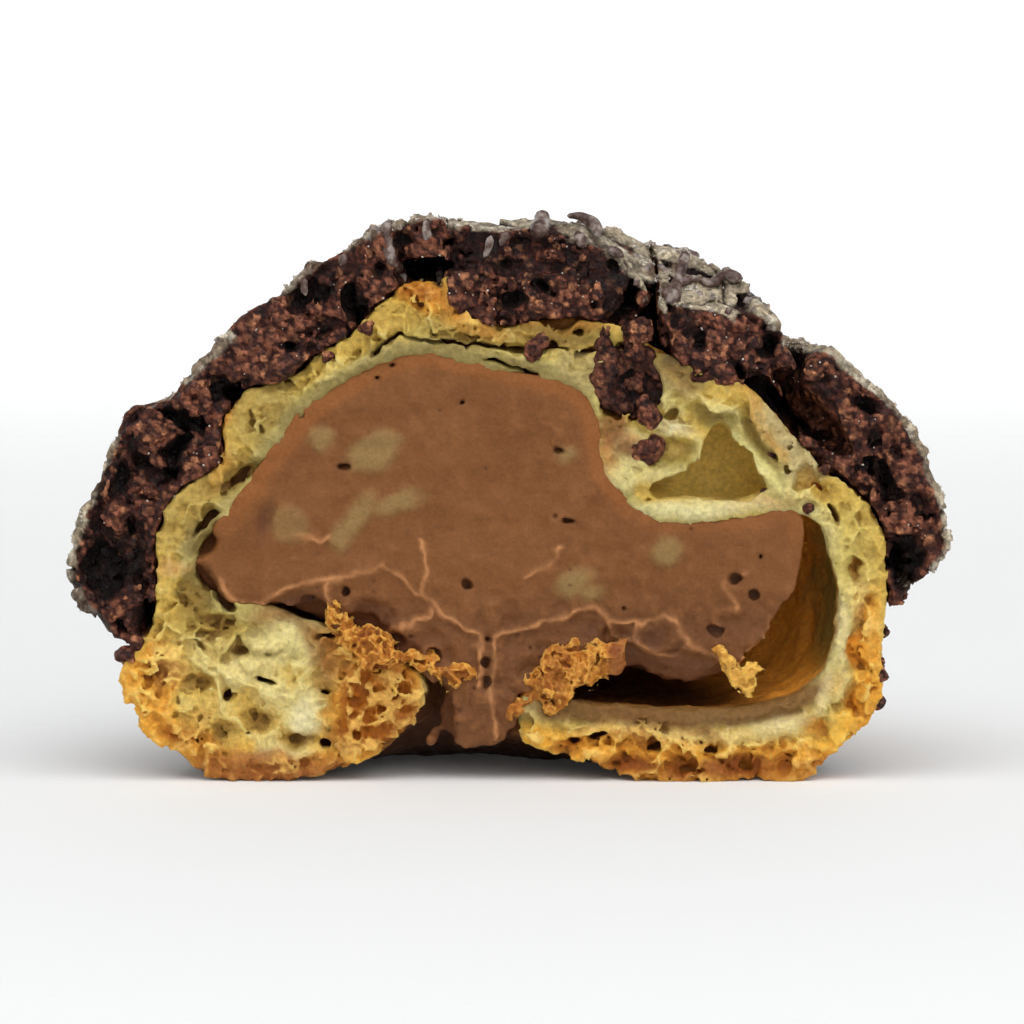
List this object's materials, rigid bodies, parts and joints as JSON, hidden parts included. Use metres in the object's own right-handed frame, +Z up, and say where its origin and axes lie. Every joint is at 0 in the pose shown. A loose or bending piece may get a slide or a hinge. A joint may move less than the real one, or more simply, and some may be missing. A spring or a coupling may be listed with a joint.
{
  "type": "chocolate cream puff",
  "caption": "Half of a round cream puff cut down its middle: a choux shell filled with chocolate cream, with a thick, broken chocolate cookie crust over its crown.",
  "frame": {"origin": "the middle of the bounding box, on the surface that the half stands on", "axes": "+X along the cut face's width, to the right seen from the front; +Y from the cut face into the rounded back; +Z up"},
  "size_m": [0.0884, 0.042, 0.057],
  "materials": {
    "choux": "dry baked choux, pale yellow inside, golden brown at its base",
    "chocolate_cream": "smooth cut milk chocolate cream with a soft sheen",
    "cookie_crust": "coarse dark chocolate cookie, sugary and slightly bloomed outside"
  },
  "bodies": {
    "root": {"choux_shell": "choux", "chocolate_cream": "chocolate_cream", "cookie_crust": "cookie_crust", "crust_chunk_crown": "cookie_crust", "crust_chunk_shoulder": "cookie_crust", "crust_crumb_slipped": "cookie_crust"}
  },
  "joints": []
}
